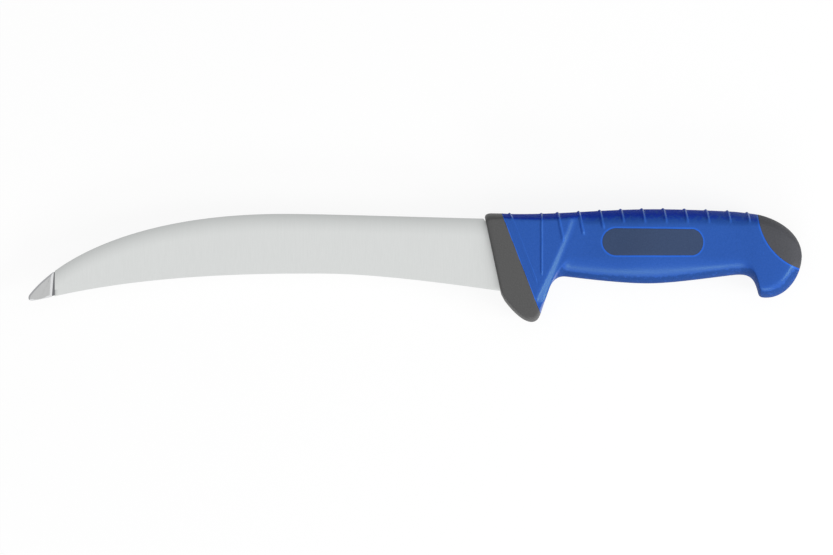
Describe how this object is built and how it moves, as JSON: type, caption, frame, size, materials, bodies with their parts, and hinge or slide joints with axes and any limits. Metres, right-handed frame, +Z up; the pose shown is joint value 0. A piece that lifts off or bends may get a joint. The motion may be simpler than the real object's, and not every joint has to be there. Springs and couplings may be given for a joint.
{
  "type": "trimming knife",
  "caption": "Meat trimming knife with a curved, hollow-edged steel blade, a blunt raised safety tip, a finger guard bolster and a ribbed soft grip with a hooked butt.",
  "frame": {"origin": "under the middle of the knife's bounding box, on the table that its right side lies on", "axes": "+X along the knife from the tip to the butt, +Y from the cutting edge to the spine, +Z up from the table to the knife's left side"},
  "size_m": [0.3324, 0.0492, 0.022],
  "materials": {
    "blade_steel": "satin, finely ground across the blade",
    "tip_steel": "satin, rounded rim",
    "core_plastic": "as moulded, hidden",
    "bolster_plastic": "fine matt grain",
    "grip_elastomer": "soft satin, light grain",
    "inlay_plastic": "fine matt grain",
    "cap_plastic": "fine matt grain"
  },
  "bodies": {
    "root": {"blade": "blade_steel", "tip_guard": "tip_steel", "handle_core": "core_plastic", "front_bolster": "bolster_plastic", "grip_sleeve": "grip_elastomer", "left_inlay": "inlay_plastic", "right_inlay": "inlay_plastic", "butt_cap": "cap_plastic"}
  },
  "joints": []
}
